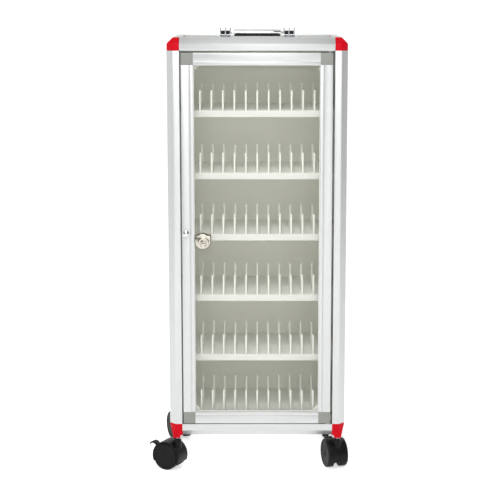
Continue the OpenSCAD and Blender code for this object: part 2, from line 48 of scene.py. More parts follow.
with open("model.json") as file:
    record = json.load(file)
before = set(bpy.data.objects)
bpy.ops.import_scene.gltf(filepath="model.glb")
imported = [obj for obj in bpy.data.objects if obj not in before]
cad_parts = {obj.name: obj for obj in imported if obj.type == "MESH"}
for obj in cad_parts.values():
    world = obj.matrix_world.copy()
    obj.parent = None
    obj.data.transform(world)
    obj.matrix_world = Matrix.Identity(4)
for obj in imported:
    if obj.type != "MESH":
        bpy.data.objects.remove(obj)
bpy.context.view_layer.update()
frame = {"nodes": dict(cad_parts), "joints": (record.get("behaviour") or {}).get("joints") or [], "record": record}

MM = 0.001
ROWS = 6
CORNERS = {"fl": "front_left", "fr": "front_right", "rl": "rear_left", "rr": "rear_right"}
JOINTS = {joint["name"]: joint for joint in frame["joints"]}
Z_TO_FRONT = Matrix.Rotation(math.pi / 2, 4, "X")
Z_TO_BACK = Matrix.Rotation(-math.pi / 2, 4, "X")
SHARP = 30.0  # degrees between faces, from which a bevel rounds their edge
FLAT = 0.6  # degrees between faces, below which they count as one

# ---- sizes that the pieces share with the solids, in millimetres ----

PLATE_THICK = 3.2
PLATE_GAPS = 12  # phone slots in a row
UPRIGHT = 9.0  # a plate's uprights, front to back
WEB_HIGH = 12.0  # the web between them
REAR_RISE = 6.5  # the rear upright over the front one
LOCK_RADIUS = 13.9
LOCK_TOP = 10.7  # the lock's flat top over the middle of its outline
LOCK_MIDDLE = (-1.1, 1.9)  # the middle of its outline from the key's axis
BRACKET_LONG = 35
SCREW_SPACING = 16
TRAIL = 16  # a caster's axle behind its stem
WHEEL_RADIUS = 25
AXLE = (TRAIL, WHEEL_RADIUS)
AXLE_RADIUS = 4
AXLE_HALF = 6.6
BORE = 4.05  # for the stem and the axle
WHEEL_INNER = 6.7  # a wheel's inner face from the caster's middle
HOOD_RADIUS = 27.8
HOOD_HALF = 18.2
HOOD_FLOOR = 14
WELL_RADIUS = 25.6  # wheel wells in the hood
WEB_HALF = 6  # wall between the wells
BOSS_RADIUS = 7.8
BOSS_FOOT = 37
BOSS_TOP = 56.2
STEM_END = 35.8
LEVER_PIN = (32.5, 38)  # from the stem, and over the ground
LEVER_PIN_RADIUS = 1.5
LEVER_PIN_HALF = 5.5
LEVER_SLOTS = ((29.1, 34), (34.5, 29))  # where each begins from the stem, and its floor
LEVER_SLOT_HALF = 4


# ---- colours ----


def linear(hex_colour):
    """An sRGB hex colour as linear red, green and blue."""
    values = (int(hex_colour[i : i + 2], 16) / 255 for i in (1, 3, 5))
    return tuple(v / 12.92 if v <= 0.04045 else ((v + 0.055) / 1.055) ** 2.4 for v in values)


def colour(label, hex_colour, description):
    """A colour setting whose default is an sRGB hex colour."""
    return FloatVectorProperty(
        name=label,
        description=description,
        subtype="COLOR",
        size=3,
        min=0.0,
        max=1.0,
        default=linear(hex_colour),
    )


def length(label, value, low, high, description):
    """A length setting in millimetres."""
    return FloatProperty(name=label, description=description, default=value, min=low, max=high, precision=2)


def brightness(label, value, high, description):
    """A brightness setting."""
    return FloatProperty(name=label, description=description, default=value, min=0.0, max=high)


# ---- settings ----


class CabinetFinish(bpy.types.PropertyGroup):
    """Colours of the cabinet's materials"""

    aluminium: colour("Frame aluminium", "#d8dada", "Anodised posts, rails and door frame")
    caps: colour("Corner caps", "#cc0018", "Red moulded corner caps")
    panels: colour("Panels", "#f8f9ee", "Side, back and top panels")
    shelves: colour("Shelves", "#ebebe8", "Melamine on the floor board and the shelves")
    plates: colour("Divider plates", "#f2f4ec", "Moulded divider plates")
    blocks: colour("Door corners", "#8f918b", "Moulded corner blocks of the door")
    glass: colour("Glass", "#f1f3df", "Tint of the door's pane")
    seal: colour("Glazing seal", "#f4f4f0", "Soft seal round the pane")
    chrome: colour("Chrome", "#dedfe1", "Handle and knob")
    brackets: colour("Brackets", "#6d6f73", "Pressed brackets of the handle")
    sleeves: colour("Pivot sleeves", "#2c2d2f", "Dark sleeves on the handle's pivot")
    nickel: colour("Lock nickel", "#c9c4b8", "Nickel of the lock")
    rubber: colour("Lock pad", "#1d1b19", "Rubber pad between the lock and the pane")
    zinc: colour("Zinc", "#c9ccd0", "Zinc-plated stems, pins and screws")
    bushes: colour("Bushes", "#e6e2d2", "Natural nylon of the hinge bushes")
    hoods: colour("Caster hoods", "#0e0e0f", "Nylon of the caster hoods and brake levers")
    wheels: colour("Wheels", "#0d0d0e", "Hard plastic of the wheels")


class CabinetSizes(bpy.types.PropertyGroup):
    """Sizes of the details that the pieces add to the frame"""

    extrusion_edge: length("Extrusion edge", 0.5, 0.1, 1.5, "Radius on the edges of the aluminium sections")
    cap_edge: length("Cap edge", 1.4, 0.2, 3.0, "Radius on the edges of the corner caps")
    board_edge: length("Board edge", 0.7, 0.1, 2.0, "Radius on the edges of the boards")
    plate_edge: length("Plate edge", 0.7, 0.1, 1.4, "Radius on the edges of the divider plates")
    plate_corner: length("Plate corner", 3.0, 1.0, 4.0, "Radius of the upper corners of a plate's uprights")
    plate_count: IntProperty(name="Plates", description="Divider plates in a row", default=13, min=2, max=13)
    small_edge: length("Small edge", 0.35, 0.05, 1.0, "Radius on the edges of the lock and the handle")
    hood_edge: length("Hood edge", 2.2, 0.5, 4.0, "Radius round the outer rim of a caster hood")


class CabinetStudio(bpy.types.PropertyGroup):
    """Camera and lights"""

    distance: FloatProperty(
        name="Distance",
        description="From the camera to the point that it looks at",
        default=2.6,
        min=1.0,
        max=8.0,
        unit="LENGTH",
    )
    elevation: FloatProperty(
        name="Elevation",
        description="Height of the camera above the horizon",
        default=math.radians(9.38),
        subtype="ANGLE",
    )
    aim_height: FloatProperty(
        name="Aim height",
        description="Height of the point that the camera looks at",
        default=0.442,
        unit="LENGTH",
    )
    lens: FloatProperty(
        name="Lens", description="Focal length on a 36 mm sensor", default=100.6, min=20, max=300
    )
    shift_x: FloatProperty(name="Shift X", description="Sideways shift of the frame", default=-0.0145)
    shift_y: FloatProperty(name="Shift Y", description="Upward shift of the frame", default=-0.05)
    front: brightness("Front", 0.1, 4.0, "Brightness of the room in front")
    back: brightness("Back", 1.1, 4.0, "Brightness of the room behind")
    left: brightness("Left", 0.93, 4.0, "Brightness of the room on the left")
    right: brightness("Right", 0.5, 4.0, "Brightness of the room on the right")
    above: brightness("Above", 0.15, 4.0, "Brightness of the room overhead and below")
    paper: brightness("Paper", 0.6, 2.0, "Glow of the paper as the camera sees it")
    glow: brightness("Glow", 0.385, 2.0, "Light that the paper gives off")
    key: FloatProperty(name="Key", description="Key softbox at the front", default=52.0, subtype="POWER")
    fill: FloatProperty(name="Fill", description="Fill softbox at the front", default=15.0, subtype="POWER")
    top: FloatProperty(name="Top", description="Overhead softbox", default=5.5, subtype="POWER")


def settings(group):
    """The finish, sizes or studio settings on the scene."""
    return getattr(bpy.context.scene, "cabinet_" + group)


def tint(part):
    """A colour of the finish settings, as linear red, green and blue."""
    return getattr(settings("finish"), part)[:]


# ---- nodes and materials ----


def add(tree, kind, inputs=None, **properties):
    """Adds a node with its properties; inputs maps a socket's name or index to a value or to an output."""
    made = tree.nodes.new(kind)
    for key, value in properties.items():
        setattr(made, key, value)
    for key, value in (inputs or {}).items():
        if isinstance(value, bpy.types.NodeSocket):
            tree.links.new(value, made.inputs[key])
        else:
            made.inputs[key].default_value = value
    return made


def material(name, rgb, metallic=0.0, roughness=0.5, ior=1.5, alpha=1.0):
    """A new material: its tree and its Principled shader, with constants on the shader's own sockets."""
    made = bpy.data.materials.new(name)
    made.use_nodes = True
    shader = made.node_tree.nodes["Principled BSDF"]
    shader.inputs["Base Color"].default_value = (*rgb, 1.0)
    shader.inputs["Metallic"].default_value = metallic
    shader.inputs["Roughness"].default_value = roughness
    shader.inputs["IOR"].default_value = ior
    shader.inputs["Alpha"].default_value = alpha
    return made, made.node_tree, shader


def grain(tree, size, stretch=(1.0, 1.0, 1.0), detail=3.0):
    """Noise on object coordinates. size is the grain in millimetres, stretch lengthens it along an axis."""
    where = add(tree, "ShaderNodeTexCoord")
    scale = tuple(1.0 / s for s in stretch)
    mapped = add(tree, "ShaderNodeMapping", {"Vector": where.outputs["Object"], "Scale": scale})
    noise = {"Vector": mapped.outputs["Vector"], "Scale": 1.0 / (size * MM), "Detail": detail}
    return add(tree, "ShaderNodeTexNoise", noise).outputs["Fac"]


def shade(tree, shader, rgb, fac, spread):
    """Lets the base colour drift with fac, darker by spread at its low end."""
    low = tuple(v * (1.0 - spread) for v in rgb)
    high = tuple(min(1.0, v * (1.0 + spread * 0.4)) for v in rgb)
    mix = add(tree, "ShaderNodeMix", {"Factor": fac, 6: (*low, 1.0), 7: (*high, 1.0)}, data_type="RGBA")
    tree.links.new(mix.outputs[2], shader.inputs["Base Color"])


def vary(tree, shader, socket, fac, low, high):
    """Drives a socket of the shader from low to high with fac."""
    # most of a noise's values lie between 0.3 and 0.7
    ends = {"Value": fac, "From Min": 0.3, "From Max": 0.7, "To Min": low, "To Max": high}
    span = add(tree, "ShaderNodeMapRange", ends)
    tree.links.new(span.outputs["Result"], shader.inputs[socket])


def emboss(tree, shader, fac, depth, strength):
    """Bump of a depth in millimetres."""
    bump = add(tree, "ShaderNodeBump", {"Height": fac, "Distance": depth * MM, "Strength": strength})
    tree.links.new(bump.outputs["Normal"], shader.inputs["Normal"])


def anodised(axis):
    """Drawn and anodised aluminium: a soft sheen, with fine die lines along the section."""
    name = "anodised aluminium, drawn along " + axis
    if name in bpy.data.materials:
        return bpy.data.materials[name]
    rgb = tint("aluminium")
    made, tree, shader = material(name, rgb, metallic=0.85, roughness=0.40)
    # die lines are about 0.1 mm apart; drawn at 0.9 mm so that they show, and 80 times as long
    stretch = {"x": (80, 1, 1), "y": (1, 80, 1), "z": (1, 1, 80)}[axis]
    lines = grain(tree, 0.9, stretch, 2.0)
    shade(tree, shader, rgb, grain(tree, 60, (1, 1, 1), 2.0), 0.02)
    vary(tree, shader, "Roughness", lines, 0.36, 0.45)
    emboss(tree, shader, lines, 0.006, 0.3)
    return made


def moulded(name, rgb, roughness, size, depth, spread, ior=1.5, specular=0.5):
    """Moulded plastic: an even colour, with the tool's fine grain of a size and depth in millimetres."""
    if name in bpy.data.materials:
        return bpy.data.materials[name]
    made, tree, shader = material(name, rgb, roughness=roughness, ior=ior)
    shader.inputs["Specular IOR Level"].default_value = specular
    fine = grain(tree, size)
    shade(tree, shader, rgb, grain(tree, 40, detail=2.0), spread)
    vary(tree, shader, "Roughness", grain(tree, 12, detail=2.0), roughness * 0.88, roughness * 1.12)
    emboss(tree, shader, fine, depth, 0.6)
    return made


def red_abs():
    """Glossy ABS straight from a polished tool: deep colour, faint sink waves."""
    return moulded("glossy red ABS", tint("caps"), 0.34, 9.0, 0.03, 0.05, 1.53, 0.1)


def laminated_sheet():
    """Thin white laminated sheet: flat, with a slight waviness across a hand's width."""
    return moulded("white laminated sheet", tint("panels"), 0.42, 55.0, 0.25, 0.02)


def melamine():
    """White melamine on chipboard: hard and even, with a pearl texture of about a millimetre."""
    return moulded("white melamine board", tint("shelves"), 0.48, 1.2, 0.03, 0.02)


def polystyrene():
    """Moulded polystyrene plates: satin white, slightly cloudy."""
    return moulded("satin white polystyrene", tint("plates"), 0.40, 3.0, 0.03, 0.02)


def grey_nylon():
    """Spark-eroded tool texture on grey nylon."""
    return moulded("textured grey nylon", tint("blocks"), 0.55, 0.9, 0.06, 0.05)


def seal_rubber():
    """Soft co-extruded glazing seal: white, dull."""
    return moulded("white glazing rubber", tint("seal"), 0.70, 1.5, 0.05, 0.03)


def natural_nylon():
    """Turned natural nylon: creamy and waxy."""
    return moulded("natural nylon", tint("bushes"), 0.45, 1.0, 0.03, 0.03)


def black_nylon():
    """Satin black nylon of the caster hoods and levers."""
    return moulded("satin black nylon", tint("hoods"), 0.38, 1.0, 0.05, 0.10, specular=0.2)


def wheel_plastic():
    """Hard black wheel plastic, dulled by rolling."""
    return moulded("dull black wheel plastic", tint("wheels"), 0.48, 1.4, 0.08, 0.15, specular=0.2)


def plated(name, rgb, roughness, swirl, depth):
    """A plated metal: mirror-like or satin, with the polishing marks of a size in millimetres."""
    if name in bpy.data.materials:
        return bpy.data.materials[name]
    made, tree, shader = material(name, rgb, metallic=1.0, roughness=roughness)
    marks = grain(tree, swirl, (3, 1, 1))
    shade(tree, shader, rgb, grain(tree, 8, detail=2.0), 0.04)
    vary(tree, shader, "Roughness", marks, roughness * 0.7, roughness * 1.4)
    emboss(tree, shader, marks, depth, 0.3)
    return made


def chrome():
    """Bright nickel-chrome plating over polished steel."""
    return plated("bright chrome plating", tint("chrome"), 0.08, 2.0, 0.005)


def bracket_steel():
    """Pressed steel with a dull nickel flash: darker and less even than the grip."""
    return plated("nickel-flashed pressed steel", tint("brackets"), 0.22, 2.5, 0.01)


def dark_steel():
    """Oiled black steel of the sleeves on the handle's pivot."""
    return plated("oiled black steel", tint("sleeves"), 0.35, 1.5, 0.01)


def lock_nickel():
    """Nickel on polished die-cast zinc: warm grey with clear reflections."""
    return plated("warm nickel plating", tint("nickel"), 0.15, 1.2, 0.008)


def black_rubber():
    """Moulded black rubber, matt."""
    return moulded("matt black rubber", tint("rubber"), 0.75, 0.8, 0.04, 0.08, specular=0.2)


def zinc_steel():
    """Bright zinc-plated steel."""
    return plated("zinc-plated steel", tint("zinc"), 0.24, 1.5, 0.02)


def float_glass():
    """Clear float glass, 4 mm: a faint greenish veil of reflected room over what stands behind it."""
    name = "clear float glass"
    if name in bpy.data.materials:
        return bpy.data.materials[name]
    rgb = tint("glass")
    made, tree, shader = material(name, rgb, roughness=0.03, ior=1.52, alpha=0.09)
    vary(tree, shader, "Roughness", grain(tree, 90, detail=2.0), 0.02, 0.05)
    emboss(tree, shader, grain(tree, 120, detail=1.0), 0.05, 0.2)
    made.surface_render_method = "BLENDED"
    return made


def stage_white():
    """Matt white studio paper, lifted to white where it is seen and not in what it lights."""
    made, tree, shader = material("white studio paper", linear("#f7f7f6"), roughness=0.9)
    vary(tree, shader, "Roughness", grain(tree, 200, detail=2.0), 0.86, 0.94)
    shader.inputs["Emission Color"].default_value = (1.0, 1.0, 1.0, 1.0)
    seen = add(tree, "ShaderNodeLightPath").outputs["Is Camera Ray"]
    vary(tree, shader, "Emission Strength", seen, settings("studio").glow, settings("studio").paper)
    return made


# ---- meshes ----


def new_object(name, mesh):
    """Links an object with that mesh at the origin."""
    made = bpy.data.objects.new(name, mesh)
    bpy.context.scene.collection.objects.link(made)
    return made


def from_bmesh(name, shape):
    """An object from a bmesh, which is freed."""
    mesh = bpy.data.meshes.new(name)
    shape.to_mesh(mesh)
    shape.free()
    return new_object(name, mesh)


def evaluated_copy(source, name):
    """A plain mesh object of what source's modifiers give. The source is removed."""
    shown = source.evaluated_get(bpy.context.evaluated_depsgraph_get())
    mesh = bpy.data.meshes.new_from_object(shown)
    mesh.name = name
    bpy.data.objects.remove(source)
    return new_object(name, mesh)


def rounded(source, radius, segments=2):
    """Rounds the sharp edges and smooths the rest. The radius is in millimetres."""
    name = source.name
    source.name = name + " raw"
    bevel = source.modifiers.new("rounded edges", "BEVEL")
    bevel.width = radius * MM
    bevel.segments = segments
    bevel.limit_method = "ANGLE"
    bevel.angle_limit = math.radians(SHARP)
    bevel.use_clamp_overlap = True
    made = evaluated_copy(source, name)
    smooth(made)
    return made


def smooth(obj, angle=32.0):
    """Smooth shading, broken where faces meet at more than angle."""
    obj.data.shade_smooth()
    obj.data.set_sharp_from_angle(angle=math.radians(angle))


def node_shape(node):
    """A CAD node's mesh with its loose triangles joined and its flat faces made whole."""
    shape = bmesh.new()
    shape.from_mesh(frame["nodes"][node].data)
    bmesh.ops.remove_doubles(shape, verts=shape.verts, dist=1e-6)
    limit = math.radians(FLAT)
    bmesh.ops.dissolve_limit(
        shape, angle_limit=limit, use_dissolve_boundaries=False, verts=shape.verts, edges=shape.edges
    )
    return shape


def body_of(node):
    """The CAD body that holds a node."""
    return next(body for body, nodes in frame["record"]["behaviour"]["bodies"].items() if node in nodes)


def dress(piece, look, *nodes, stands_in=True):
    """Gives a piece its material and lets it ride with the first node's body, in place of the nodes."""
    piece.data.materials.clear()
    piece.data.materials.append(look)
    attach(piece, body_of(nodes[0]))
    if stands_in:
        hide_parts(*nodes)
    return piece


def soften(node, name, look, radius, segments=2):
    """A piece in place of one CAD node: the same shape with rounded edges."""
    piece = rounded(from_bmesh(name, node_shape(node)), radius, segments)
    return dress(piece, look, node)


def paint(node, look):
    """A CAD node that stays as it is gets its material."""
    mesh = frame["nodes"][node].data
    mesh.materials.clear()
    mesh.materials.append(look)


def revolved(profile, segments):
    """A closed bmesh turned about Z from (radius, height) points that run from axis to axis."""
    shape = bmesh.new()
    rings = []
    for radius, height in profile:
        if radius < 1e-6:
            rings.append([shape.verts.new((0, 0, height * MM))])
        else:
            r, z = radius * MM, height * MM
            turn = (2 * math.pi * i / segments for i in range(segments))
            rings.append([shape.verts.new((r * math.cos(a), r * math.sin(a), z)) for a in turn])
    for low, high in zip(rings, rings[1:]):
        for i in range(segments):
            j = (i + 1) % segments
            corners = [low[i % len(low)], low[j % len(low)], high[j % len(high)], high[i % len(high)]]
            unique = list(dict.fromkeys(corners))
            if len(unique) > 2:
                shape.faces.new(unique)
    bmesh.ops.recalc_face_normals(shape, faces=shape.faces)
    return shape


def arc(centre, radius, start, end, steps):
    """Points of an arc, angles in degrees."""
    turn = (math.radians(start + (end - start) * i / steps) for i in range(steps + 1))
    return [(centre[0] + radius * math.cos(a), centre[1] + radius * math.sin(a)) for a in turn]


def prism(outline, low, high):
    """A bmesh from an outline of (x, y) in millimetres, extruded from low to high along Z."""
    shape = bmesh.new()
    face = shape.faces.new([shape.verts.new((x * MM, y * MM, low * MM)) for x, y in outline])
    pulled = bmesh.ops.extrude_face_region(shape, geom=[face])
    moved = [v for v in pulled["geom"] if isinstance(v, bmesh.types.BMVert)]
    bmesh.ops.translate(shape, verts=moved, vec=(0, 0, (high - low) * MM))
    bmesh.ops.recalc_face_normals(shape, faces=shape.faces)
    return shape


def placed(shape, matrix):
    """The bmesh, moved."""
    bmesh.ops.transform(shape, matrix=matrix, verts=shape.verts)
    return shape


def merged(shapes):
    """One bmesh of several, which are freed."""
    whole = bmesh.new()
    for shape in shapes:
        mesh = bpy.data.meshes.new("part")
        shape.to_mesh(mesh)
        shape.free()
        whole.from_mesh(mesh)
        bpy.data.meshes.remove(mesh)
    return whole


def carve(base, cutters, added=()):
    """Joins what is added to base and takes the cutters away with exact Booleans, and removes them."""
    name = base.name
    base.name = name + " raw"
    for other in (*added, *cutters):
        cut = base.modifiers.new("cut", "BOOLEAN")
        cut.object = other
        cut.operation = "UNION" if other in added else "DIFFERENCE"
        cut.solver = "EXACT"
    made = evaluated_copy(base, name)
    for other in (*added, *cutters):
        bpy.data.objects.remove(other)
    return made


# ---- node trees ----


def geometry_tree(name, numbers, repeated):
    """A Geometry Nodes tree with named inputs: numbers with their socket types, an object and a finish."""
    tree = bpy.data.node_groups.new(name, "GeometryNodeTree")
    tree.interface.new_socket("Geometry", in_out="OUTPUT", socket_type="NodeSocketGeometry")
    inputs = {**numbers, repeated: "NodeSocketObject", "Finish": "NodeSocketMaterial"}
    for label, kind in inputs.items():
        tree.interface.new_socket(label, in_out="INPUT", socket_type=kind)
    return tree, tree.nodes.new("NodeGroupInput"), tree.nodes.new("NodeGroupOutput")


def close_tree(tree, given, out, points, repeated):
    """Puts the repeated object on the points, and ends in Realize Instances and Set Material."""
    source = add(tree, "GeometryNodeObjectInfo", {"Object": given.outputs[repeated]})
    spread = {"Points": points, "Instance": source.outputs["Geometry"]}
    copies = add(tree, "GeometryNodeInstanceOnPoints", spread)
    real = add(tree, "GeometryNodeRealizeInstances", {"Geometry": copies.outputs["Instances"]})
    finish = {"Geometry": real.outputs["Geometry"], "Material": given.outputs["Finish"]}
    finished = add(tree, "GeometryNodeSetMaterial", finish)
    tree.links.new(finished.outputs["Geometry"], out.inputs["Geometry"])


def grown(name, tree, values):
    """A plain mesh object of what the tree makes from those input values."""
    carrier = new_object(name + " carrier", bpy.data.meshes.new(name + " carrier"))
    modifier = carrier.modifiers.new("pieces", "NODES")
    modifier.node_group = tree
    for item in tree.interface.items_tree:
        if item.in_out == "INPUT" and item.name in values:
            modifier[item.identifier] = values[item.name]
    made = evaluated_copy(carrier, name)
    smooth(made)
    return made


def plate_row_tree():
    """Copies of a plate in a straight line along X."""
    numbers = {"Count": "NodeSocketInt", "Pitch": "NodeSocketFloat", "Start": "NodeSocketVector"}
    tree, given, out = geometry_tree("row of plates", numbers, "Plate")
    step = add(tree, "ShaderNodeCombineXYZ", {"X": given.outputs["Pitch"]})
    row = {
        "Count": given.outputs["Count"],
        "Start Location": given.outputs["Start"],
        "Offset": step.outputs["Vector"],
    }
    line = add(tree, "GeometryNodeMeshLine", row)
    close_tree(tree, given, out, line.outputs["Mesh"], "Plate")
    return tree


def screw_grid_tree():
    """Copies of a screw on the corners of a rectangle."""
    numbers = {"Size X": "NodeSocketFloat", "Size Y": "NodeSocketFloat", "Centre": "NodeSocketVector"}
    tree, given, out = geometry_tree("rectangle of screws", numbers, "Screw")
    rectangle = {
        "Size X": given.outputs["Size X"],
        "Size Y": given.outputs["Size Y"],
        "Vertices X": 2,
        "Vertices Y": 2,
    }
    grid = add(tree, "GeometryNodeMeshGrid", rectangle)
    move = {"Geometry": grid.outputs["Mesh"], "Offset": given.outputs["Centre"]}
    moved = add(tree, "GeometryNodeSetPosition", move)
    close_tree(tree, given, out, moved.outputs["Geometry"], "Screw")
    return tree


# ---- pieces ----


class CABINET_OT_frame(bpy.types.Operator):
    """Posts and rails of drawn aluminium, and the red caps at the corners"""

    bl_idname = "cabinet.frame"
    bl_label = "Frame"

    def execute(self, context):
        sizes = settings("sizes")
        for post in CORNERS.values():
            soften("post_" + post, "post_%s_section" % post, anodised("z"), sizes.extrusion_edge)
        for level in ("top", "bottom"):
            for side, axis in (("front", "x"), ("rear", "x"), ("left", "y"), ("right", "y")):
                node = "rail_%s_%s" % (level, side)
                soften(node, node + "_section", anodised(axis), sizes.extrusion_edge)
            node = "corner_caps_" + level
            soften(node, node + "_moulding", red_abs(), sizes.cap_edge, 3)
        return {"FINISHED"}


class CABINET_OT_panels(bpy.types.Operator):
    """Panels in the frame's slots, the boards and the strips that carry them"""

    bl_idname = "cabinet.panels"
    bl_label = "Panels and boards"

    def execute(self, context):
        sizes = settings("sizes")
        for side in ("left", "right", "back", "top"):
            paint("panel_" + side, laminated_sheet())
        for node in ["floor_board"] + ["shelf_%d" % i for i in range(1, ROWS)]:
            soften(node, node + "_board", melamine(), sizes.board_edge)
        soften("shelf_brackets", "shelf_bracket_strips", anodised("y"), 0.4)
        return {"FINISHED"}


class CABINET_OT_dividers(bpy.types.Operator):
    """Rows of upright divider plates"""

    bl_idname = "cabinet.dividers"
    bl_label = "Divider rows"

    def plate(self, thick, deep, high):
        """One plate on the origin's level, its front edge at y = 0: two uprights joined by a low web."""
        sizes = settings("sizes")
        r = sizes.plate_corner
        wide, web, front = UPRIGHT, WEB_HIGH, high - REAR_RISE
        outline = [(0, 0), (deep, 0)]
        outline += arc((deep - r, high - r), r, 0, 90, 5) + arc((deep - wide + r, high - r), r, 90, 180, 5)
        outline += arc((deep - wide - r, web + r), r, 0, -90, 5) + arc((wide + r, web + r), r, -90, -180, 5)
        outline += arc((wide - r, front - r), r, 0, 90, 5) + arc((r, front - r), r, 90, 180, 5)
        shape = prism(outline, -thick / 2, thick / 2)
        turned = Matrix(((0, 0, 1, 0), (1, 0, 0, 0), (0, 1, 0, 0), (0, 0, 0, 1)))
        return rounded(from_bmesh("plate", placed(shape, turned)), sizes.plate_edge, 2)

    def execute(self, context):
        sizes = settings("sizes")
        tree = plate_row_tree()
        for row in range(1, ROWS + 1):
            node = "dividers_%d" % row
            low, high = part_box(node)
            size = (high - low) / MM
            plate = self.plate(PLATE_THICK, size.y, size.z)
            pitch = (size.x - PLATE_THICK) / PLATE_GAPS
            piece = grown(
                node + "_plates",
                tree,
                {
                    "Count": sizes.plate_count,
                    "Pitch": pitch * MM,
                    "Start": (low.x + PLATE_THICK / 2 * MM, low.y, low.z),
                    "Plate": plate,
                    "Finish": polystyrene(),
                },
            )
            bpy.data.objects.remove(plate)
            dress(piece, polystyrene(), node)
        return {"FINISHED"}


class CABINET_OT_door(bpy.types.Operator):
    """Door frame, corner blocks, pane, seal and pads, with the knob"""

    bl_idname = "cabinet.door"
    bl_label = "Door"

    def execute(self, context):
        sizes = settings("sizes")
        for node, axis in (
            ("door_stile_left", "z"),
            ("door_stile_right", "z"),
            ("door_rail_top", "x"),
            ("door_rail_bottom", "x"),
        ):
            soften(node, node + "_section", anodised(axis), sizes.extrusion_edge * 0.8)
        soften("door_corner_blocks", "door_corner_mouldings", grey_nylon(), 0.9, 3)
        soften("door_glass", "door_pane", float_glass(), 0.4)
        soften("door_gasket", "door_seal", seal_rubber(), 0.8)
        soften("door_glass_pads", "door_pane_pads", polystyrene(), 0.6)
        self.knob()
        return {"FINISHED"}

    def knob(self):
        """Turned knob: a foot, a waist and a domed head."""
        low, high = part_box("door_knob")
        head = (high.x - low.x) / MM / 2
        foot = [(0, 0), (4.6, 0)] + arc((4.6, 0.8), 0.8, -90, 60, 4)
        waist = [(3.4, 2.1), (2.9, 3.2), (3.0, 4.4), (4.6, 5.2)]
        dome = arc((head - 1.0, 6.6), 1.0, -70, 70, 6) + [(4.2, 8.5), (2.2, 9.2), (0, 9.4)]
        centre = Vector(((low.x + high.x) / 2, high.y, (low.z + high.z) / 2))
        shape = placed(revolved(foot + waist + dome, 48), Matrix.Translation(centre) @ Z_TO_FRONT)
        piece = from_bmesh("door_knob_turned", shape)
        smooth(piece, 50)
        dress(piece, chrome(), "door_knob")


class CABINET_OT_hinges(bpy.types.Operator):
    """Hinge pins in the door and the bushes that they turn in"""

    bl_idname = "cabinet.hinges"
    bl_label = "Hinges"

    def execute(self, context):
        soften("hinge_pins", "hinge_pins_turned", zinc_steel(), 0.3)
        soften("hinge_bushes", "hinge_bushes_turned", natural_nylon(), 0.2)
        return {"FINISHED"}


class CABINET_OT_lock(bpy.types.Operator):
    """Lock clamped through the pane, with its key plug and bolt"""

    bl_idname = "cabinet.lock"
    bl_label = "Lock"

    def execute(self, context):
        edge = settings("sizes").small_edge
        soften("lock_face", "lock_face_plate", lock_nickel(), edge * 2, 3)
        soften("lock_case", "lock_rear_case", lock_nickel(), edge * 2, 3)
        soften("lock_plug", "lock_key_plug", lock_nickel(), 0.15)
        soften("lock_bolt", "lock_rack_bolt", zinc_steel(), 0.1)
        self.pad()
        return {"FINISHED"}

    def outline(self, margin):
        """Flat on top with a round bulge, round below: the lock's outline grown by a margin."""
        r, top = LOCK_RADIUS + margin, LOCK_TOP + margin
        bulge = math.degrees(math.asin(top / r))
        points = arc((0, 0), r, 180, 360, 32) + [(r, top)]
        points += arc((0, 0), r, bulge, 180 - bulge, 16) + [(-r, top)]
        return [(x + LOCK_MIDDLE[0], z + LOCK_MIDDLE[1]) for x, z in points]

    def pad(self):
        """Thin rubber pad that shows as a dark line round the lock's face."""
        wide, thick = 0.9, 1.2
        pane_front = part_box("door_glass")[0].y
        axis = Vector(JOINTS["lock_turn"]["pos_m"])
        matrix = Matrix.Translation((axis.x, pane_front, axis.z)) @ Z_TO_FRONT
        cut = from_bmesh("cut", placed(prism(self.outline(0.0), -1, 3), matrix))
        whole = from_bmesh("lock_face_pad", placed(prism(self.outline(wide), 0, thick), matrix))
        pad = carve(whole, [cut])
        smooth(pad)
        dress(pad, black_rubber(), "lock_face", stands_in=False)


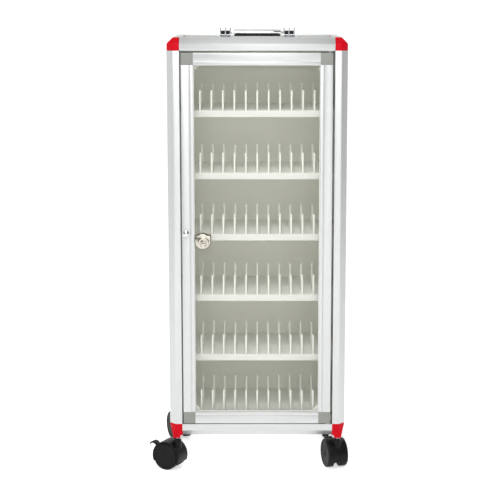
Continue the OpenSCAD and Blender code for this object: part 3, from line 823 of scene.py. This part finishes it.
class CABINET_OT_handle(bpy.types.Operator):
    """Folding handle, its brackets and their screws"""

    bl_idname = "cabinet.handle"
    bl_label = "Handle"

    def execute(self, context):
        edge = settings("sizes").small_edge
        soften("handle_brackets", "handle_bracket_pressings", bracket_steel(), edge)
        soften("handle_grip", "handle_grip_bar", chrome(), edge * 2, 3)
        self.screws()
        self.sleeves()
        return {"FINISHED"}

    def sleeves(self):
        """Dark steel sleeves on the pivot between the ears, the outer ones riveted in place."""
        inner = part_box("handle_brackets")[1].x / MM - BRACKET_LONG
        pivot = JOINTS["handle_lift"]["pos_m"][2]
        lie = Matrix.Translation((0, 0, pivot)) @ Matrix.Rotation(math.pi / 2, 4, "Y")

        def rod(name, radius, edge, start, end):
            """A rod along X with rounded ends, its start and end counted from the bracket's inner end."""
            low, high = inner + start, inner + end
            rim = arc((radius - edge, low + edge), edge, -90, 0, 3)
            rim += arc((radius - edge, high - edge), edge, 0, 90, 3)
            return from_bmesh(name, placed(revolved([(0, low)] + rim + [(0, high)], 32), lie))

        radius, edge = 3.4, 0.6
        pin_bore = rod("cut", 2.15, 0.1, 3.0, 12.5)
        rivet = rod("rivet", 1.6, 0.1, 13.6, 21.3)
        outer = rod("sleeve", radius, edge, 13.9, 21.0)
        sleeve = carve(rod("handle_pivot_sleeves", radius, edge, 4.7, 11.7), [pin_bore], [outer, rivet])
        shape = bmesh.new()
        shape.from_mesh(sleeve.data)
        bpy.data.objects.remove(sleeve)
        bmesh.ops.mirror(shape, geom=shape.verts[:] + shape.edges[:] + shape.faces[:], axis="X")
        bmesh.ops.recalc_face_normals(shape, faces=shape.faces)
        piece = from_bmesh("handle_pivot_sleeves", shape)
        smooth(piece, 40)
        dress(piece, dark_steel(), "handle_brackets", stands_in=False)

    def screws(self):
        """Pan-head screws with a cross recess, through the brackets and the top panel."""
        low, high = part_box("handle_screws")
        shank = [(0, 0.4), (1.5, 0.4), (1.5, 8.9)]
        head = [(3.0, 8.9), (3.0, 9.3)] + arc((1.6, 9.1), 1.45, 8, 80, 5) + [(0, 10.6)]
        screw = from_bmesh("screw", revolved(shank + head, 24))
        bars = []
        for turn in (0, 1):
            outline = [(-2, -0.3), (2, -0.3), (2, 0.3), (-2, 0.3)]
            bar = placed(prism(outline, 9.9, 11.5), Matrix.Rotation(turn * math.pi / 2, 4, "Z"))
            bars.append(from_bmesh("recess", bar))
        screw = carve(screw, bars)
        tree = screw_grid_tree()
        nut_radius = 3.2
        spread = (high.x - low.x) / 2 - nut_radius * MM
        nut = from_bmesh("nut", prism(arc((0, 0), nut_radius, 0, 300, 5), 0, 3))
        shape = bmesh.new()
        for side in (-1, 1):
            for item in (screw, nut):
                values = {
                    # the two columns all but coincide, so each screw is there twice
                    "Size X": 1e-6,
                    "Size Y": SCREW_SPACING * MM,
                    "Centre": (side * spread, 0.0, low.z),
                    "Screw": item,
                    "Finish": zinc_steel(),
                }
                made = grown("handle_screw_set", tree, values)
                shape.from_mesh(made.data)
                bpy.data.objects.remove(made)
        for item in (screw, nut):
            bpy.data.objects.remove(item)
        bmesh.ops.remove_doubles(shape, verts=shape.verts, dist=1e-7)
        piece = from_bmesh("handle_screw_heads", shape)
        smooth(piece)
        dress(piece, zinc_steel(), "handle_screws")


class CABINET_OT_casters(bpy.types.Operator):
    """Twin-wheel casters: stems, hoods, wheels and the brake levers in front"""

    bl_idname = "cabinet.casters"
    bl_label = "Casters"

    def execute(self, context):
        soften("caster_stems", "caster_stem_pins", zinc_steel(), 0.3)
        for corner, place in CORNERS.items():
            self.hood(corner, place)
            self.wheels(corner, place)
        for corner in ("fl", "fr"):
            node = "brake_lever_" + corner
            soften(node, node + "_moulding", black_nylon(), 0.8, 3)
        return {"FINISHED"}

    def local(self, place):
        """The caster's own frame: its stem on Z, trailing along X."""
        stem = Vector(JOINTS["swivel_" + place]["pos_m"])
        axle = Vector(JOINTS["spin_" + place]["pos_m"])
        aim = math.atan2(axle.y - stem.y, axle.x - stem.x)
        return Matrix.Translation((stem.x, stem.y, 0)) @ Matrix.Rotation(aim, 4, "Z")

    def across(self, name, matrix, centre, radius, low, high, segments):
        """A cylinder along the axle's direction, its centre given from the stem and over the ground."""
        shape = revolved([(0, low), (radius, low), (radius, high), (0, high)], segments)
        upright = Matrix.Translation((centre[0] * MM, 0, centre[1] * MM)) @ Z_TO_BACK
        return from_bmesh(name, placed(shape, matrix @ upright))

    def hood(self, corner, place):
        """Dome over the wheels: a barrel with a boss, hollowed for the wheels, the stem and a lever."""
        edge, boss_edge = settings("sizes").hood_edge, 0.9
        matrix = self.local(place)
        side = [(0, -HOOD_HALF)] + arc((HOOD_RADIUS - edge, -HOOD_HALF + edge), edge, -90, 0, 6)
        profile = side + [(x, -y) for x, y in reversed(side)]
        upright = Matrix.Translation((TRAIL * MM, 0, WHEEL_RADIUS * MM)) @ Z_TO_BACK
        barrel = from_bmesh("caster_hood_%s_shell" % corner, placed(revolved(profile, 128), matrix @ upright))
        boss = [(0, BOSS_FOOT), (BOSS_RADIUS, BOSS_FOOT)]
        boss += arc((BOSS_RADIUS - boss_edge, BOSS_TOP - boss_edge), boss_edge, 0, 90, 4) + [(0, BOSS_TOP)]
        # the cutters reach past the hood on every side
        behind, ahead, aside, over = -60, 90, 60, 70
        ground = [(behind, -aside), (ahead, -aside), (ahead, aside), (behind, aside)]
        stem = [(0, STEM_END), (BORE, STEM_END), (BORE, over), (0, over)]
        cutters = [
            from_bmesh("cut", placed(prism(ground, -10, HOOD_FLOOR), matrix)),
            self.across("cut", matrix, AXLE, WELL_RADIUS, WEB_HALF, 40, 128),
            self.across("cut", matrix, AXLE, WELL_RADIUS, -40, -WEB_HALF, 128),
            self.across("cut", matrix, AXLE, BORE, -9, 9, 40),
            from_bmesh("cut", placed(revolved(stem, 40), matrix)),
        ]
        if corner in ("fl", "fr"):
            half = LEVER_SLOT_HALF
            for start, floor in LEVER_SLOTS:
                slot = [(start, -half), (ahead, -half), (ahead, half), (start, half)]
                cutters.append(from_bmesh("cut", placed(prism(slot, floor, 90), matrix)))
        hood = carve(barrel, cutters, [from_bmesh("boss", placed(revolved(boss, 48), matrix))])
        smooth(hood, 28)
        dress(hood, black_nylon(), "caster_hood_" + corner)
        if corner in ("fl", "fr"):
            half = LEVER_PIN_HALF
            pin = self.across("brake_pin_" + corner, matrix, LEVER_PIN, LEVER_PIN_RADIUS, -half, half, 24)
            smooth(pin)
            dress(pin, zinc_steel(), "caster_hood_" + corner, stands_in=False)

    def wheels(self, corner, place):
        """Two wheels with a recessed disc and a raised ring on the outer face, and their axle."""
        matrix = self.local(place)
        disc, ring, rim = 18.3, 18.8, 18.9  # these faces from the caster's middle
        face = [(0, disc), (4.6, disc), (5.2, ring), (6.6, ring), (7.2, disc), (20.2, disc), (20.8, rim)]
        shoulder, groove, corner_edge = 2.2, 0.3, 0.7
        tread = arc((WHEEL_RADIUS - shoulder, 16.8), shoulder, 88, 0, 6)
        tread += [(WHEEL_RADIUS, 12.2), (WHEEL_RADIUS - groove, 11.9), (WHEEL_RADIUS, 11.6)]
        inner = [(WHEEL_RADIUS, 8.0)] + arc((WHEEL_RADIUS - corner_edge, 7.4), corner_edge, 0, -90, 3)
        inner += [(6, WHEEL_INNER), (0, WHEEL_INNER)]
        wheel = revolved(face + tread + inner, 96)
        other = placed(wheel.copy(), Z_TO_FRONT)
        bar = [(0, -AXLE_HALF), (AXLE_RADIUS, -AXLE_HALF), (AXLE_RADIUS, AXLE_HALF), (0, AXLE_HALF)]
        axle = placed(revolved(bar, 32), Z_TO_BACK)
        pair = merged([placed(wheel, Z_TO_BACK), other, axle])
        centre = Matrix.Translation((TRAIL * MM, 0, WHEEL_RADIUS * MM))
        piece = from_bmesh("caster_wheels_%s_pair" % corner, placed(pair, matrix @ centre))
        smooth(piece, 35)
        dress(piece, wheel_plastic(), "caster_wheels_" + corner)


class CABINET_OT_stage(bpy.types.Operator):
    """White sweep, softboxes, room light and the camera"""

    bl_idname = "cabinet.stage"
    bl_label = "Studio"

    def execute(self, context):
        self.sweep()
        self.flag()
        self.room()
        self.lights()
        self.camera()
        return {"FINISHED"}

    def sweep(self):
        """Paper that runs from the floor up behind the object in one curve. Its sizes are in metres."""
        near, bend, radius, top, half = -6.0, 2.2, 1.5, 7.0, 8.0
        path = [(near, 0.0), (bend, 0.0)]
        for a in (math.radians(7.5 * i) for i in range(1, 13)):
            path.append((bend + radius * math.sin(a), radius - radius * math.cos(a)))
        path.append((bend + radius, top))
        shape = bmesh.new()
        sides = [[shape.verts.new((x, y, z)) for y, z in path] for x in (-half, half)]
        for i in range(len(path) - 1):
            shape.faces.new((sides[0][i], sides[1][i], sides[1][i + 1], sides[0][i + 1]))
        bmesh.ops.recalc_face_normals(shape, faces=shape.faces)
        floor = from_bmesh("studio_sweep", shape)
        floor.data.shade_smooth()
        floor.data.materials.append(stage_white())

    def flag(self):
        """Dark card under the grip, which only reflections see: a painted dark reflection that draws the dark line
        along the chrome.
        """
        low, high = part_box("handle_grip")
        wide, front = 42 * MM, low.y - 20 * MM
        shape = bmesh.new()
        ends = ((-wide, front), (wide, front), (wide, high.y), (-wide, high.y))
        shape.faces.new([shape.verts.new((x, y, low.z - MM)) for x, y in ends])
        card = from_bmesh("studio_flag", shape)
        # painted reflection: the card is hidden from camera, diffuse light and shadows, and shows only as a dark
        # line in the grip's chrome
        card.data.materials.append(material("black flock card", linear("#2e2e2e"), roughness=0.95)[0])
        card.visible_camera = card.visible_diffuse = card.visible_transmission = card.visible_shadow = False

    def room(self):
        """A white room whose light changes smoothly from one direction to the next, seen as plain white."""
        studio = settings("studio")
        world = bpy.data.worlds.new("white room")
        world.use_nodes = True
        tree = world.node_tree
        way = add(tree, "ShaderNodeTexCoord")
        parts = add(tree, "ShaderNodeSeparateXYZ", {"Vector": way.outputs["Generated"]})
        total = 0.0
        for axis, low, high in (
            ("X", studio.left, studio.right),
            ("Y", studio.front, studio.back),
            ("Z", studio.above, studio.above),
        ):
            along = parts.outputs[axis]
            ends = {"Value": along, "From Min": -0.2, "From Max": 0.2, "To Min": low, "To Max": high}
            side = add(tree, "ShaderNodeMapRange", ends)
            share = add(tree, "ShaderNodeMath", {0: along, 1: along}, operation="MULTIPLY")
            part = {0: share.outputs[0], 1: side.outputs[0], 2: total}
            total = add(tree, "ShaderNodeMath", part, operation="MULTIPLY_ADD").outputs[0]
        seen = add(tree, "ShaderNodeLightPath").outputs["Is Camera Ray"]
        shown = add(tree, "ShaderNodeMix", {0: seen, 2: total, 3: 1.0}, data_type="FLOAT")
        background = tree.nodes["Background"]
        background.inputs["Color"].default_value = (1.0, 1.0, 1.0, 1.0)
        tree.links.new(shown.outputs[0], background.inputs["Strength"])
        bpy.context.scene.world = world

    def lights(self):
        """Three softboxes, their places and widths in metres, aimed at the middle of the cabinet."""
        middle = Vector((0, 0, 0.42))
        studio = settings("studio")
        scene = bpy.context.scene
        for name, place, size, power in (
            ("key softbox", (-0.3, -2.3, 2.6), 1.6, studio.key),
            ("fill softbox", (0.25, -3.2, 1.1), 1.8, studio.fill),
            ("top softbox", (0.0, -0.2, 2.8), 1.6, studio.top),
        ):
            light = bpy.data.lights.new(name, "AREA")
            light.shape = "SQUARE"
            light.size = size
            light.energy = power
            lamp = bpy.data.objects.new(name, light)
            lamp.location = place
            aim = middle - Vector(place)
            lamp.rotation_euler = aim.to_track_quat("-Z", "Y").to_euler()
            scene.collection.objects.link(lamp)
        scene.view_settings.view_transform = "Standard"
        scene.view_settings.look = "None"

    def camera(self):
        """The photograph's viewpoint: straight at the door, a little from above."""
        studio = settings("studio")
        lens = bpy.data.cameras.new("camera")
        lens.lens = studio.lens
        lens.sensor_width = 36.0
        lens.shift_x = studio.shift_x
        lens.shift_y = studio.shift_y
        lens.clip_start, lens.clip_end = 0.05, 50.0
        seat = bpy.data.objects.new("camera", lens)
        e = studio.elevation
        away = Vector((0, -math.cos(e), math.sin(e)))
        seat.location = Vector((0, 0, studio.aim_height)) + away * studio.distance
        seat.rotation_euler = (-away).to_track_quat("-Z", "Y").to_euler()
        bpy.context.scene.collection.objects.link(seat)
        bpy.context.scene.camera = seat


STEPS = (
    CABINET_OT_frame,
    CABINET_OT_panels,
    CABINET_OT_dividers,
    CABINET_OT_door,
    CABINET_OT_hinges,
    CABINET_OT_lock,
    CABINET_OT_handle,
    CABINET_OT_casters,
    CABINET_OT_stage,
)


class CABINET_PT_panel(bpy.types.Panel):
    """Settings and the steps that build the cabinet"""

    bl_idname = "CABINET_PT_panel"
    bl_label = "Phone Locker Cabinet"
    bl_space_type = "VIEW_3D"
    bl_region_type = "UI"
    bl_category = "Cabinet"

    def draw(self, context):
        for label in ("finish", "sizes", "studio"):
            group = settings(label)
            box = self.layout.box()
            for name in group.bl_rna.properties.keys():
                if name not in ("rna_type", "name"):
                    box.prop(group, name)
        for step in STEPS:
            self.layout.operator(step.bl_idname)


CLASSES = (CabinetFinish, CabinetSizes, CabinetStudio, *STEPS, CABINET_PT_panel)


def register():
    """Registers the classes and puts the settings on the scene."""
    for item in CLASSES:
        bpy.utils.register_class(item)
    bpy.types.Scene.cabinet_finish = PointerProperty(type=CabinetFinish)
    bpy.types.Scene.cabinet_sizes = PointerProperty(type=CabinetSizes)
    bpy.types.Scene.cabinet_studio = PointerProperty(type=CabinetStudio)


def unregister():
    """Takes everything back out."""
    del bpy.types.Scene.cabinet_studio
    del bpy.types.Scene.cabinet_sizes
    del bpy.types.Scene.cabinet_finish
    for item in reversed(CLASSES):
        bpy.utils.unregister_class(item)


def main():
    """Builds everything in order."""
    register()
    for step in STEPS:
        module, name = step.bl_idname.split(".")
        getattr(getattr(bpy.ops, module), name)()


if __name__ == "__main__":
    main()
